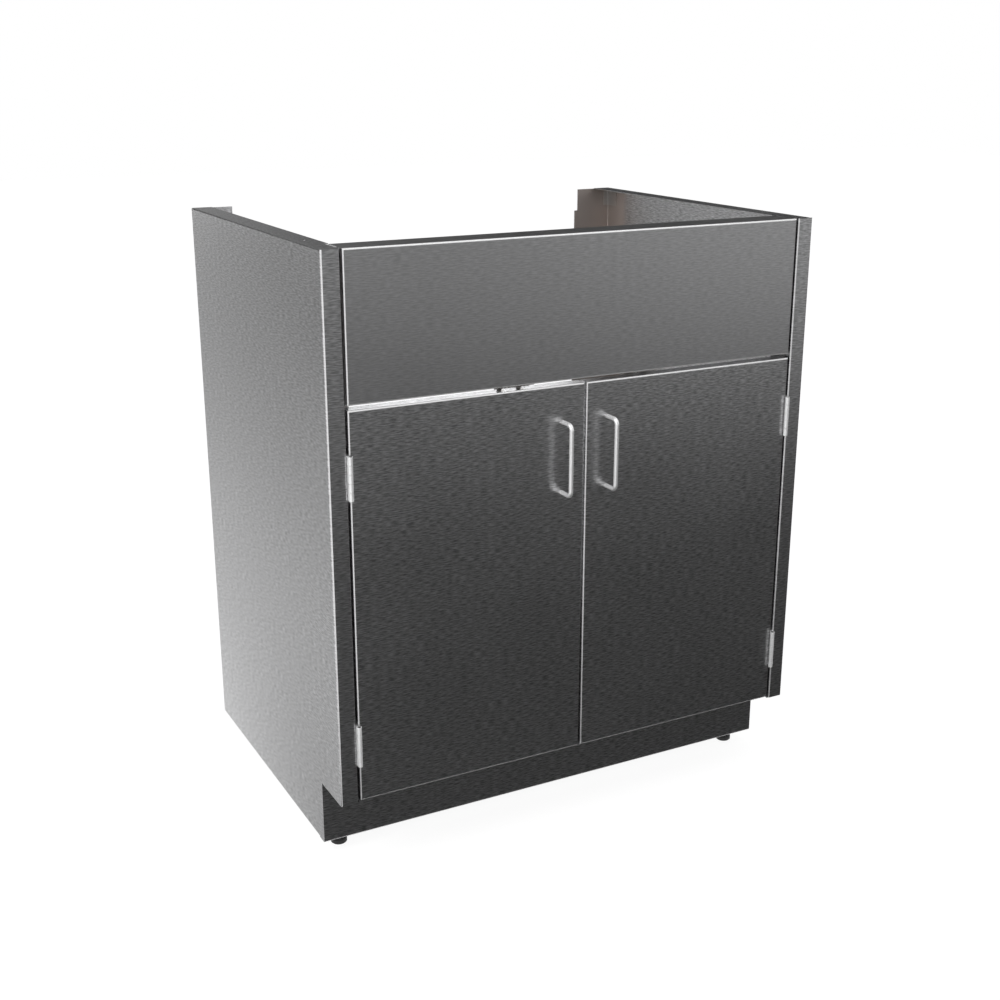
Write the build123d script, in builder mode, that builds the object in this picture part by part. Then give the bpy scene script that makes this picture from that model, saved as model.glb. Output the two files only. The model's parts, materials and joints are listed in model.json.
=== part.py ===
from build123d import *
import os

# Outdoor kitchen cabinet of folded stainless sheet: two side panels, a fixed apron, a pair of doors,
# a bottom shelf over a toe space, an open top and back, and four levelling feet.
# Millimetres. X runs to the right, Y to the back, Z up. The origin is on the floor, in the middle.

# Overall sizes
cabinet_width = 762.0
cabinet_depth = 558.8
body_height = 859.5
foot_exposure = 21.0

# Sheet metal and how its pieces are put together
sheet = 1.2
bend_radius = 2.4
fit_gap = 0.2
overrun = 5.0

# Side panels
stile_width = 25.4
stile_return = 28.0
stile_stop = 12.4
top_flange = 31.75
bottom_flange = 20.0
rear_flange = 71.0
rear_flange_step = 6.0
rear_step_drop = 37.5
rear_flange_drop = 0.8
ledge_reach = 2.0
counter_hole_radius = 2.6
counter_hole_inset = 16.0
counter_hole_front = 97.0
counter_hole_back = 25.4

# Toe space and the board behind it
toe_height = 96.5
toe_depth = 75.0
toe_flange = 18.0

# Apron over the doors
apron_height = 198.5
apron_top_flange = 50.8
apron_lip = 14.0
apron_foot_flange = 48.0
front_depth = 19.05
side_gap = 3.2
apron_gap = 6.0

# Angles that hold the apron to the stiles
bracket_setback = 12.0
bracket_leg = 26.0
bracket_end_gap = 4.0
bracket_screw_inset = 30.0

# Bottom shelf
shelf_height = 112.0
shelf_flange = 20.0
shelf_lap = 15.0
stop_gap = 1.45
shelf_screw_inset = 88.0
shelf_screw_setback = 10.0

# Rail across the back, under the shelf
rear_rail_inset = 22.0
rear_rail_flange = 22.0
rear_screw_inset = 45.0
rear_screw_height_low = 35.0
rear_screw_height_high = 85.0

# Clips in the rear top corners
clip_height = 28.0
clip_side_leg = 28.0
clip_back_leg = 10.0

# Doors
center_gap = 3.0
door_lift = 2.5
inner_flange = 6.0
stiffener_width = 30.0
stiffener_height = 180.0

# Handles: round wire pulls
handle_radius = 3.175
handle_centers = 101.6
handle_reach = 25.4
handle_bend = 8.0
handle_inset = 36.4
handle_drop = 103.0
handle_bore_depth = 9.0
handle_screw_grip = 8.0

# Hinges: butt hinges whose leaves lie in the side gap
hinge_height = 60.0
hinge_foot_inset = 85.0
hinge_head_inset = 89.0
knuckle_count = 5
knuckle_gap = 0.3
leaf_sheet = 1.4
leaf_depth = 16.0
leaf_relief = 0.5
pin_radius = 1.85
pin_clearance = 0.05
pin_recess = 3.0
barrel_clearance = 0.8
hinge_screw_pitch = 20.0
hinge_screw_setback = 9.0

# Magnetic catches, their brackets and their strikes
catch_offset = 103.0
catch_width = 46.0
catch_plate = 1.0
catch_plate_front = 3.0
catch_depth = 12.0
catch_height = 17.0
catch_arm_width = 7.4
catch_screw_pitch = 30.0
catch_screw_setback = 10.0
strike_width = 40.0
strike_height = 14.0
strike_drop = 2.0
catch_gap = 0.35

# Rubber buffers on the backs of the doors
buffer_radius = 4.5
buffer_height = 1.2
buffer_inset = 40.0
buffer_lift = 6.0

# Levelling feet and the brackets they turn in
foot_inset = 32.5
foot_setback = 103.0
foot_back_inset = 45.0
foot_pad_radius = 12.0
foot_pad_height = 13.0
foot_pad_neck = 8.0
foot_pad_edge = 1.5
foot_stud_radius = 5.0
foot_stud_height = 60.0
foot_stud_seat = 6.0
foot_clearance = 0.05
foot_bracket_sheet = 3.0
foot_bracket_size = 60.0
foot_nut_flats = 17.0
foot_nut_height = 8.0

# Screws
pan_head_radius = 3.7
pan_head_height = 2.2
pan_shank_radius = 1.9
pan_shank_length = 8.0
flat_head_radius = 3.0
flat_head_height = 1.2
flat_shank_radius = 1.7
flat_shank_length = 6.0
handle_shank_radius = 1.9
socket_flats = 2.6
socket_depth = 1.2
flat_socket_depth = 0.9
screw_clearance = 0.15

# Places worked out from the sizes
half_width = cabinet_width / 2
front_y = (handle_reach + handle_radius - cabinet_depth) / 2
back_y = front_y + cabinet_depth
body_z = foot_exposure
top_z = body_z + body_height
outer_x = -half_width
stile_x = outer_x + stile_width
opening_x = stile_x + side_gap
front_back_y = front_y + front_depth
toe_y = front_y + toe_depth
toe_top_z = body_z + toe_height
apron_z = top_z - apron_height
door_top_z = apron_z - apron_gap
door_bottom_z = toe_top_z + door_lift
door_free_x = -center_gap / 2
shelf_z = body_z + shelf_height
shelf_front_y = front_back_y + stop_gap
rail_y = back_y - sheet
barrel_radius = pin_radius + pin_clearance + leaf_sheet
hinge_x = stile_x + barrel_radius
hinge_y = front_y - barrel_radius - barrel_clearance
hinge_centers = {"lower": door_bottom_z + hinge_foot_inset, "upper": door_top_z - hinge_head_inset}
handle_x = -handle_inset
handle_z = door_top_z - handle_drop

os.makedirs("parts", exist_ok=True)


def block(x_low, x_high, y_low, y_high, z_low, z_high):
    """A plain block between two corners."""
    with BuildPart() as piece:
        with BuildSketch(Plane.XY.offset(z_low)):
            with Locations(((x_low + x_high) / 2, (y_low + y_high) / 2)):
                Rectangle(x_high - x_low, y_high - y_low)
        extrude(amount=z_high - z_low)
    return piece.part


def rod(plane, radius, length):
    """A round bar that leaves a plane along its normal."""
    with BuildPart() as piece:
        with BuildSketch(plane):
            Circle(radius)
        extrude(amount=length)
    return piece.part


def folded_sheet(plane, points, run):
    """Sheet folded along the points, which lie on its outside, and drawn out by run."""
    with BuildPart() as piece:
        with BuildSketch(plane):
            with BuildLine():
                FilletPolyline(*points, radius=bend_radius)
                offset(amount=sheet, side=Side.RIGHT, closed=True)
            make_face()
        extrude(amount=run)
    return piece.part


def front_block(x_low, x_high, y_low, y_high, z_low, z_high, radius, rounded_end):
    """A block whose front (0) or back (-1) face has rounded edges."""
    with BuildPart() as piece:
        with BuildSketch(Plane.XZ.offset(-y_low)):
            with Locations(((x_low + x_high) / 2, (z_low + z_high) / 2)):
                Rectangle(x_high - x_low, z_high - z_low)
        extrude(amount=y_low - y_high)
        fillet(piece.faces().sort_by(Axis.Y)[rounded_end].edges(), radius=radius)
    return piece.part


def front_tray(x_low, x_high, z_low, z_high):
    """Folded tray with a rounded front, open at the back."""
    outside = front_block(x_low, x_high, front_y, front_back_y, z_low, z_high, bend_radius, 0)
    inside = front_block(
        x_low + sheet, x_high - sheet, front_y + sheet, front_back_y + overrun,
        z_low + sheet, z_high - sheet, bend_radius - sheet, 0)
    with BuildPart() as piece:
        add(outside)
        add(inside, mode=Mode.SUBTRACT)
    return piece.part


def flat_screw(plane, extra=0):
    """Countersunk screw. The plane's normal leaves its head; extra makes its plain hole."""
    with BuildPart() as piece:
        with BuildSketch(Plane(plane.origin, x_dir=plane.x_dir, z_dir=plane.y_dir)):
            with BuildLine():
                Polyline(
                    (0, 0), (flat_head_radius + extra, 0),
                    (flat_shank_radius + extra, flat_head_height),
                    (flat_shank_radius + extra, flat_shank_length + extra),
                    (0, flat_shank_length + extra), close=True)
            make_face()
        revolve(axis=Axis(plane.origin, plane.z_dir))
        if extra == 0:
            with BuildSketch(plane):
                RegularPolygon(socket_flats / 2, 6, major_radius=False)
            extrude(amount=-flat_socket_depth, mode=Mode.SUBTRACT)
    return piece.part


def pan_screw(plane, shank_radius=pan_shank_radius, shank_length=pan_shank_length):
    """Pan head screw with a six-sided socket. The head stands on the plane, the shank goes below."""
    with BuildPart() as piece:
        with BuildSketch(plane):
            Circle(pan_head_radius)
        extrude(amount=pan_head_height)
        fillet(piece.faces().sort_by(Axis(plane.origin, plane.z_dir))[-1].edges(),
               radius=pan_head_height / 2)
        with BuildSketch(plane):
            Circle(shank_radius)
        extrude(amount=-shank_length)
        with BuildSketch(plane.offset(pan_head_height)):
            RegularPolygon(socket_flats / 2, 6, major_radius=False)
        extrude(amount=-socket_depth, mode=Mode.SUBTRACT)
    return piece.part


def keep(name, solid):
    """Label a finished piece and write it."""
    with BuildPart() as piece:
        add(solid)
    piece.part.label = name
    export_step(piece.part, f"parts/{name}.step")


def keep_pair(name, left_solid):
    """Write a left piece and its mirror image on the right."""
    keep(f"left_{name}", left_solid)
    keep(f"right_{name}", mirror(left_solid, about=Plane.YZ))


def group(solids):
    """Identical pieces kept together as separate solids."""
    with BuildPart() as pieces:
        for solid in solids:
            add(solid)
    return pieces.part


def both_sides(solids):
    """The solids and their mirror images, as one group."""
    with BuildPart() as pieces:
        for solid in solids:
            add(solid)
        mirror(about=Plane.YZ)
    return pieces.part


# Screw places on the left half of the cabinet. Each plane's normal leaves the screw's head.

def facing_right(x, y, z):
    return Plane((x, y, z), x_dir=(0, 1, 0), z_dir=(1, 0, 0))


def facing_left(x, y, z):
    return Plane((x, y, z), x_dir=(0, 1, 0), z_dir=(-1, 0, 0))


def facing_back(x, y, z):
    return Plane((x, y, z), x_dir=(1, 0, 0), z_dir=(0, 1, 0))


def facing_up(x, y, z):
    return Plane((x, y, z), x_dir=(1, 0, 0), z_dir=(0, 0, 1))


def facing_down(x, y, z):
    return Plane((x, y, z), x_dir=(1, 0, 0), z_dir=(0, 0, -1))


hinge_screw_y = front_y + hinge_screw_setback
frame_leaf_planes = {}
door_leaf_planes = {}
for place, center in hinge_centers.items():
    heights = [center + step * hinge_screw_pitch for step in (-1, 0, 1)]
    frame_leaf_planes[place] = [
        facing_right(stile_x + leaf_sheet, hinge_screw_y, height) for height in heights]
    door_leaf_planes[place] = [
        facing_left(opening_x - leaf_sheet, hinge_screw_y, height) for height in heights]
all_frame_leaf_planes = frame_leaf_planes["lower"] + frame_leaf_planes["upper"]
all_door_leaf_planes = door_leaf_planes["lower"] + door_leaf_planes["upper"]

bracket_back_y = front_back_y + sheet
bracket_bottom_z = apron_z + bracket_end_gap
bracket_top_z = top_z - bracket_end_gap
bracket_screw_x = opening_x + apron_lip / 2
bracket_planes = [
    facing_back(bracket_screw_x, bracket_back_y, height) for height in (
        bracket_bottom_z + bracket_screw_inset,
        (bracket_bottom_z + bracket_top_z) / 2,
        bracket_top_z - bracket_screw_inset)]

shelf_screw_x = outer_x + shelf_screw_inset
shelf_planes = [
    facing_up(shelf_screw_x, toe_y + shelf_screw_setback, shelf_z),
    facing_up(shelf_screw_x, rail_y - shelf_screw_setback, shelf_z)]

rear_planes = [
    facing_back(outer_x + rear_screw_inset, back_y, body_z + height) for height in (
        rear_screw_height_low, rear_screw_height_high)]

catch_x = -catch_offset
catch_screw_y = front_y + catch_screw_setback
catch_planes = [
    facing_down(catch_x + step * catch_screw_pitch / 2, catch_screw_y, apron_z - catch_plate)
    for step in (-1, 1)]

handle_ends = [handle_z - handle_centers / 2, handle_z + handle_centers / 2]
handle_planes = [facing_back(handle_x, front_back_y, height) for height in handle_ends]

foot_x = outer_x + foot_inset
foot_places = {"front": front_y + foot_setback, "rear": back_y - foot_back_inset}


def drilled(solid, planes, radius, depth=pan_shank_length):
    """A solid with a round clearance hole under each plane."""
    with BuildPart() as piece:
        add(solid)
        for plane in planes:
            add(rod(plane.offset(overrun), radius + screw_clearance, -(depth + overrun)),
                mode=Mode.SUBTRACT)
    return piece.part


# Side panel: wall, front stile with its return, stepped rear flange, top and bottom flanges

def side_panel():
    wall_top_z = top_z - bend_radius
    wall_foot_z = body_z + bend_radius
    flange_back_y = rail_y - fit_gap
    foot_flange_y = toe_y + toe_flange + fit_gap
    walls = folded_sheet(
        Plane.XY.offset(body_z),
        [(stile_x, front_y + stile_return), (stile_x, front_y), (outer_x, front_y),
         (outer_x, back_y), (outer_x + rear_flange, back_y)],
        body_height)
    top = folded_sheet(
        Plane.XZ.offset(-front_y - bend_radius),
        [(outer_x, wall_top_z - sheet), (outer_x, top_z), (outer_x + top_flange, top_z)],
        front_y + bend_radius - flange_back_y)
    foot = folded_sheet(
        Plane.XZ.offset(-flange_back_y),
        [(outer_x + bottom_flange, body_z), (outer_x, body_z), (outer_x, wall_foot_z + sheet)],
        flange_back_y - foot_flange_y)
    with BuildPart() as piece:
        add(walls)
        add(block(outer_x, outer_x + sheet, front_y + bend_radius, back_y, wall_top_z, top_z),
            mode=Mode.SUBTRACT)
        add(block(outer_x, outer_x + rear_flange, flange_back_y, back_y,
                  top_z - rear_flange_drop, top_z), mode=Mode.SUBTRACT)
        add(block(outer_x + rear_flange - rear_flange_step, outer_x + rear_flange, flange_back_y,
                  back_y, top_z - rear_step_drop, top_z), mode=Mode.SUBTRACT)
        add(block(outer_x, outer_x + sheet, foot_flange_y, flange_back_y, body_z, wall_foot_z),
            mode=Mode.SUBTRACT)
        add(top)
        add(foot)
        add(block(outer_x + bend_radius, stile_x, front_y + sheet, front_y + bend_radius + sheet,
                  top_z - sheet, top_z))
        add(block(stile_x, outer_x + top_flange + sheet, front_y,
                  front_y + apron_top_flange + side_gap, top_z - sheet, top_z),
            mode=Mode.SUBTRACT)
        add(block(outer_x, stile_x, front_y, toe_y + sheet, body_z, toe_top_z),
            mode=Mode.SUBTRACT)
        add(block(outer_x, stile_x, front_y, toe_y + bend_radius + fit_gap,
                  body_z, wall_foot_z + fit_gap), mode=Mode.SUBTRACT)
        add(block(outer_x + sheet, stile_x + ledge_reach, front_y + sheet,
                  front_y + stile_return, toe_top_z, toe_top_z + sheet))
        add(block(stile_x, opening_x + stile_stop, front_y + stile_return - sheet,
                  front_y + stile_return, shelf_z + fit_gap, apron_z - fit_gap))
        for hole_y in (front_y + counter_hole_front, back_y - counter_hole_back):
            add(rod(Plane((outer_x + counter_hole_inset, hole_y, top_z - overrun)),
                    counter_hole_radius, overrun * 2), mode=Mode.SUBTRACT)
        for plane in all_frame_leaf_planes + rear_planes:
            add(flat_screw(plane, screw_clearance), mode=Mode.SUBTRACT)
    return piece.part


keep_pair("side_panel", side_panel())


# Apron: a tray whose top runs back as the front rail, with lips down its sides

def apron():
    rail_back_y = front_y + apron_top_flange
    lip_top_z = top_z - sheet
    with BuildPart() as piece:
        add(front_tray(opening_x, -opening_x, apron_z, top_z))
        add(block(opening_x + sheet, -opening_x - sheet, front_back_y - sheet, rail_back_y,
                  top_z - sheet, top_z))
        add(block(opening_x + sheet, -opening_x - sheet, rail_back_y - sheet, rail_back_y,
                  top_z - apron_lip, top_z - sheet))
        add(block(opening_x + sheet, -opening_x - sheet, front_back_y - sheet,
                  front_y + apron_foot_flange, apron_z, apron_z + sheet))
        for edge_x in (opening_x + sheet, -opening_x - sheet - apron_lip):
            add(block(edge_x, edge_x + apron_lip, front_back_y - sheet, front_back_y,
                      apron_z + sheet, lip_top_z))
        for edge in piece.edges().filter_by(Axis.X).group_by(Axis.Y)[-1].group_by(Axis.Z)[-1]:
            fillet(edge, radius=bend_radius - sheet / 2)
    planes = catch_planes + [mirrored_plane(plane) for plane in catch_planes]
    solid = drilled(piece.part, planes, pan_shank_radius)
    planes = bracket_planes + [mirrored_plane(plane) for plane in bracket_planes]
    return drilled(solid, planes, pan_shank_radius)


def mirrored_plane(plane):
    """The same screw place on the right half."""
    place = plane.origin
    return Plane((-place.X, place.Y, place.Z), x_dir=plane.x_dir,
                 z_dir=(-plane.z_dir.X, plane.z_dir.Y, plane.z_dir.Z))


keep("apron_panel", apron())


# Angles behind the apron's ends, welded to the stile returns

def apron_bracket():
    angle = folded_sheet(
        Plane.XY.offset(bracket_bottom_z),
        [(stile_x, front_y + bracket_setback), (stile_x, bracket_back_y),
         (stile_x + bracket_leg, bracket_back_y)],
        bracket_top_z - bracket_bottom_z)
    return drilled(angle, bracket_planes, pan_shank_radius)


keep_pair("apron_bracket", apron_bracket())
keep("apron_screws", both_sides([pan_screw(plane) for plane in bracket_planes]))


# Bottom shelf: side flanges up, front lip down, and a front that clears the stiles

def shelf():
    side_x = outer_x + sheet
    lip_x = stile_x + side_gap
    shelf_back_y = rail_y - sheet - fit_gap
    shelf_under_z = shelf_z - sheet
    corner_y = front_y + stile_return + fit_gap
    tray = folded_sheet(
        Plane.XZ.offset(-shelf_front_y),
        [(-side_x, shelf_z + shelf_flange), (-side_x, shelf_under_z), (side_x, shelf_under_z),
         (side_x, shelf_z + shelf_flange)],
        shelf_front_y - shelf_back_y)
    lip = folded_sheet(
        Plane.YZ.offset(lip_x),
        [(shelf_front_y, toe_top_z + door_lift / 2), (shelf_front_y, shelf_z),
         (corner_y + shelf_lap, shelf_z)],
        -2 * lip_x)
    with BuildPart() as piece:
        add(tray)
        add(block(side_x, -side_x, shelf_front_y, corner_y, shelf_under_z, shelf_z + shelf_flange),
            mode=Mode.SUBTRACT)
        add(lip)
    planes = shelf_planes + [mirrored_plane(plane) for plane in shelf_planes]
    return drilled(piece.part, planes, pan_shank_radius)


keep("bottom_shelf", shelf())
keep("shelf_screws", both_sides([pan_screw(plane) for plane in shelf_planes]))


# Toe board: a face as wide as the cabinet, folded under at the foot and under the shelf at the top

def toe_board():
    inner_x = outer_x + sheet + fit_gap
    top_fold_z = shelf_z - sheet
    face_top_z = toe_top_z - fit_gap
    channel = folded_sheet(
        Plane.YZ.offset(inner_x),
        [(toe_y + toe_flange, body_z), (toe_y, body_z), (toe_y, top_fold_z),
         (toe_y + toe_flange, top_fold_z)],
        -2 * inner_x)
    face = folded_sheet(
        Plane.YZ.offset(outer_x),
        [(toe_y + bend_radius + fit_gap / 2, body_z), (toe_y, body_z), (toe_y, face_top_z)],
        cabinet_width)
    with BuildPart() as piece:
        add(channel)
        add(face)
    planes = shelf_planes + [mirrored_plane(plane) for plane in shelf_planes]
    return drilled(piece.part, planes, pan_shank_radius)


keep("toe_board", toe_board())


# Rail across the back: a channel between the rear flanges that the shelf rests on

def rear_rail():
    rail_x = outer_x + rear_rail_inset
    channel = folded_sheet(
        Plane.YZ.offset(rail_x),
        [(rail_y - rear_rail_flange, shelf_z - sheet), (rail_y, shelf_z - sheet),
         (rail_y, body_z), (rail_y - rear_rail_flange, body_z)],
        -2 * rail_x)
    planes = shelf_planes + [mirrored_plane(plane) for plane in shelf_planes]
    solid = drilled(channel, planes, pan_shank_radius)
    planes = rear_planes + [mirrored_plane(plane) for plane in rear_planes]
    return drilled(solid, planes, flat_shank_radius)


keep("rear_rail", rear_rail())
keep("rear_rail_screws", both_sides([flat_screw(plane) for plane in rear_planes]))


# Clips that tie the side wall to the rear flange in each top corner

def corner_clip():
    clip_x = outer_x + sheet
    return folded_sheet(
        Plane.XY.offset(top_z - bend_radius - clip_height),
        [(clip_x, rail_y - clip_side_leg), (clip_x, rail_y), (clip_x + clip_back_leg, rail_y)],
        clip_height)


keep_pair("rear_corner_clip", corner_clip())


# Doors: an outer tray, an inner skin pressed into its back, and a channel behind the handle

def door_outer():
    tray = front_tray(opening_x, door_free_x, door_bottom_z, door_top_z)
    with BuildPart() as piece:
        add(tray)
        for plane in all_door_leaf_planes:
            add(flat_screw(plane, screw_clearance), mode=Mode.SUBTRACT)
    return drilled(piece.part, handle_planes, handle_shank_radius, front_depth + overrun)


def door_inner():
    inset = sheet + fit_gap / 2
    front = front_back_y - inner_flange
    outside = front_block(
        opening_x + inset, door_free_x - inset, front, front_back_y,
        door_bottom_z + inset, door_top_z - inset, bend_radius, -1)
    inside = front_block(
        opening_x + inset + sheet, door_free_x - inset - sheet, front - overrun,
        front_back_y - sheet, door_bottom_z + inset + sheet, door_top_z - inset - sheet,
        bend_radius - sheet, -1)
    with BuildPart() as piece:
        add(outside)
        add(inside, mode=Mode.SUBTRACT)
    return drilled(piece.part, handle_planes, handle_shank_radius, front_depth)


def door_stiffener():
    low_x = handle_x - stiffener_width / 2
    skin_front_y = front_y + sheet + fit_gap / 2
    skin_back_y = front_back_y - sheet - fit_gap / 2
    channel = folded_sheet(
        Plane.XY.offset(handle_z - stiffener_height / 2),
        [(low_x + stiffener_width, skin_front_y), (low_x, skin_front_y), (low_x, skin_back_y),
         (low_x + stiffener_width, skin_back_y)],
        stiffener_height)
    return drilled(channel, handle_planes, handle_shank_radius, front_depth)


keep_pair("door_outer_pan", door_outer())
keep_pair("door_inner_pan", door_inner())
keep_pair("door_stiffener", door_stiffener())


# Handles: one bent wire each, tapped at both ends for a screw from inside the door

def handle():
    bar_y = front_y - handle_reach
    low_z, high_z = handle_ends
    with BuildPart() as piece:
        with BuildLine() as path:
            FilletPolyline(
                (handle_x, front_y, low_z), (handle_x, bar_y, low_z),
                (handle_x, bar_y, high_z), (handle_x, front_y, high_z), radius=handle_bend)
        with BuildSketch(Plane(path.line @ 0, z_dir=path.line % 0)):
            Circle(handle_radius)
        sweep(path=path.line)
        for height in handle_ends:
            add(rod(facing_back(handle_x, front_y, height),
                    handle_shank_radius + screw_clearance, -handle_bore_depth),
                mode=Mode.SUBTRACT)
    return piece.part


def handle_screw(plane):
    return pan_screw(plane, handle_shank_radius, front_depth + handle_screw_grip)


keep_pair("door_handle", handle())
keep_pair("handle_screws", group([handle_screw(plane) for plane in handle_planes]))


# Hinges: two leaves rolled round one pin, knuckle by knuckle

knuckle_height = (hinge_height - (knuckle_count - 1) * knuckle_gap) / knuckle_count
plate_setback = barrel_radius + leaf_relief


def knuckles(center, first):
    """Bottom heights of every second knuckle of a hinge."""
    foot = center - hinge_height / 2
    return [foot + index * (knuckle_height + knuckle_gap) for index in range(first, knuckle_count, 2)]


def hinge_leaf(center, low_x, first, tongue_start, screw_planes):
    """One leaf: a plate in the gap, and tongues that roll into its knuckles."""
    plate_y = hinge_y + plate_setback
    with BuildPart() as piece:
        add(block(low_x, low_x + leaf_sheet, plate_y, front_y + leaf_depth,
                  center - hinge_height / 2, center + hinge_height / 2))
        for foot in knuckles(center, first):
            add(block(low_x, low_x + leaf_sheet, hinge_y + tongue_start, plate_y + leaf_relief,
                      foot, foot + knuckle_height))
            add(rod(Plane((hinge_x, hinge_y, foot)), barrel_radius, knuckle_height))
        add(rod(Plane((hinge_x, hinge_y, center - hinge_height / 2 - overrun)),
                pin_radius + pin_clearance, hinge_height + 2 * overrun), mode=Mode.SUBTRACT)
        for plane in screw_planes:
            add(flat_screw(plane, screw_clearance), mode=Mode.SUBTRACT)
    return piece.part


def hinge_pin(center):
    length = hinge_height - 2 * pin_recess
    return rod(Plane((hinge_x, hinge_y, center - length / 2)), pin_radius, length)


for place, center in hinge_centers.items():
    keep_pair(f"{place}_hinge_frame_leaf",
              hinge_leaf(center, stile_x, 0, 0, frame_leaf_planes[place]))
    keep_pair(f"{place}_hinge_door_leaf",
              hinge_leaf(center, opening_x - leaf_sheet, 1, pin_radius + pin_clearance,
                         door_leaf_planes[place]))
    keep_pair(f"{place}_hinge_pin", hinge_pin(center))

keep("hinge_frame_screws", both_sides([flat_screw(plane) for plane in all_frame_leaf_planes]))
keep_pair("hinge_door_screws", group([flat_screw(plane) for plane in all_door_leaf_planes]))


# Magnetic catches: a bracket under the apron's foot whose two arms carry the magnet's housing behind
# the door, and a steel strike on the door

strike_top_z = door_top_z - strike_drop
catch_front_y = front_back_y + sheet + catch_gap
catch_back_y = catch_front_y + catch_depth
catch_bottom_z = strike_top_z - catch_height


def catch_bracket():
    with BuildPart() as piece:
        add(block(catch_x - catch_width / 2, catch_x + catch_width / 2, front_y + catch_plate_front,
                  front_back_y, apron_z - catch_plate, apron_z))
        for step in (-1, 1):
            arm_x = catch_x + step * catch_screw_pitch / 2
            low_x = arm_x - catch_arm_width / 2
            high_x = arm_x + catch_arm_width / 2
            add(block(low_x, high_x, front_back_y, catch_back_y + catch_plate,
                      apron_z - catch_plate, apron_z))
            add(block(low_x, high_x, catch_back_y, catch_back_y + catch_plate,
                      catch_bottom_z, apron_z - catch_plate))
    return drilled(piece.part, catch_planes, pan_shank_radius)


def catch():
    return block(catch_x - catch_width / 2, catch_x + catch_width / 2, catch_front_y, catch_back_y,
                 catch_bottom_z, strike_top_z)


def strike():
    return block(catch_x - strike_width / 2, catch_x + strike_width / 2,
                 front_back_y, front_back_y + sheet, strike_top_z - strike_height, strike_top_z)


keep_pair("catch_bracket", catch_bracket())
keep_pair("magnetic_catch", catch())
keep("catch_screws", both_sides([pan_screw(plane) for plane in catch_planes]))
keep_pair("catch_strike", strike())


# Rubber buffers between the doors and the shelf's lip

def buffers():
    places_x = (opening_x + buffer_inset, door_free_x - buffer_inset)
    return group([
        rod(facing_back(place_x, front_back_y, door_bottom_z + buffer_lift),
            buffer_radius, buffer_height) for place_x in places_x])


keep_pair("door_buffers", buffers())


# Levelling feet: a plastic pad on a threaded stud, a welded nut, and a corner plate

nut_z = body_z + sheet + foot_bracket_sheet
fold_room = bend_radius + sheet + fit_gap
bracket_fronts = {
    "front": toe_y + fold_room, "rear": rail_y - fold_room - foot_bracket_size}


def foot_bracket(center_y, low_y):
    low_x = outer_x + bend_radius + fit_gap
    with BuildPart() as piece:
        add(block(low_x, low_x + foot_bracket_size, low_y, low_y + foot_bracket_size,
                  body_z + sheet, nut_z))
        add(rod(Plane((foot_x, center_y, body_z)), foot_stud_radius + foot_clearance,
                foot_stud_height), mode=Mode.SUBTRACT)
    return piece.part


def foot_nut(center_y):
    with BuildPart() as piece:
        with BuildSketch(Plane((foot_x, center_y, nut_z))):
            RegularPolygon(foot_nut_flats / 2, 6, major_radius=False)
            Circle(foot_stud_radius + foot_clearance, mode=Mode.SUBTRACT)
        extrude(amount=foot_nut_height)
    return piece.part


def foot_stud(center_y):
    with BuildPart() as piece:
        add(rod(Plane((foot_x, center_y, foot_stud_seat)), foot_stud_radius,
                foot_stud_height - foot_stud_seat))
        chamfer(piece.edges().group_by(Axis.Z)[-1], length=foot_pad_edge / 2)
    return piece.part


def foot_pad(center_y):
    profile = Plane((foot_x, center_y, 0), x_dir=(1, 0, 0), z_dir=(0, -1, 0))
    with BuildPart() as piece:
        with BuildSketch(profile):
            with BuildLine():
                Polyline(
                    (0, 0), (foot_pad_radius - foot_pad_edge, 0),
                    (foot_pad_radius, foot_pad_edge),
                    (foot_pad_radius, foot_pad_height / 2),
                    (foot_pad_neck, foot_pad_height), (foot_stud_radius, foot_pad_height),
                    (foot_stud_radius, foot_stud_seat), (0, foot_stud_seat), close=True)
            make_face()
        revolve(axis=Axis((foot_x, center_y, 0), (0, 0, 1)))
    return piece.part


for place, center_y in foot_places.items():
    keep_pair(f"{place}_foot_bracket", foot_bracket(center_y, bracket_fronts[place]))
    keep_pair(f"{place}_foot_stud", foot_stud(center_y))
    keep_pair(f"{place}_foot_pad", foot_pad(center_y))

keep("foot_nuts", both_sides([foot_nut(center_y) for center_y in foot_places.values()]))
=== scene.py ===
# %% [markdown]
# # An outdoor kitchen cabinet in brushed stainless steel
# The cabinet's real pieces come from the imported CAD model, in metres, and stay where they are. This
# script gives each of them the surface that its metal, plastic or rubber has, adds the fine work that
# the solids leave out, and sets up the studio: a white floor, soft lamps and the dark and grey cards
# that a photographer puts round a shiny box.

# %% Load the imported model
import json
import math

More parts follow.
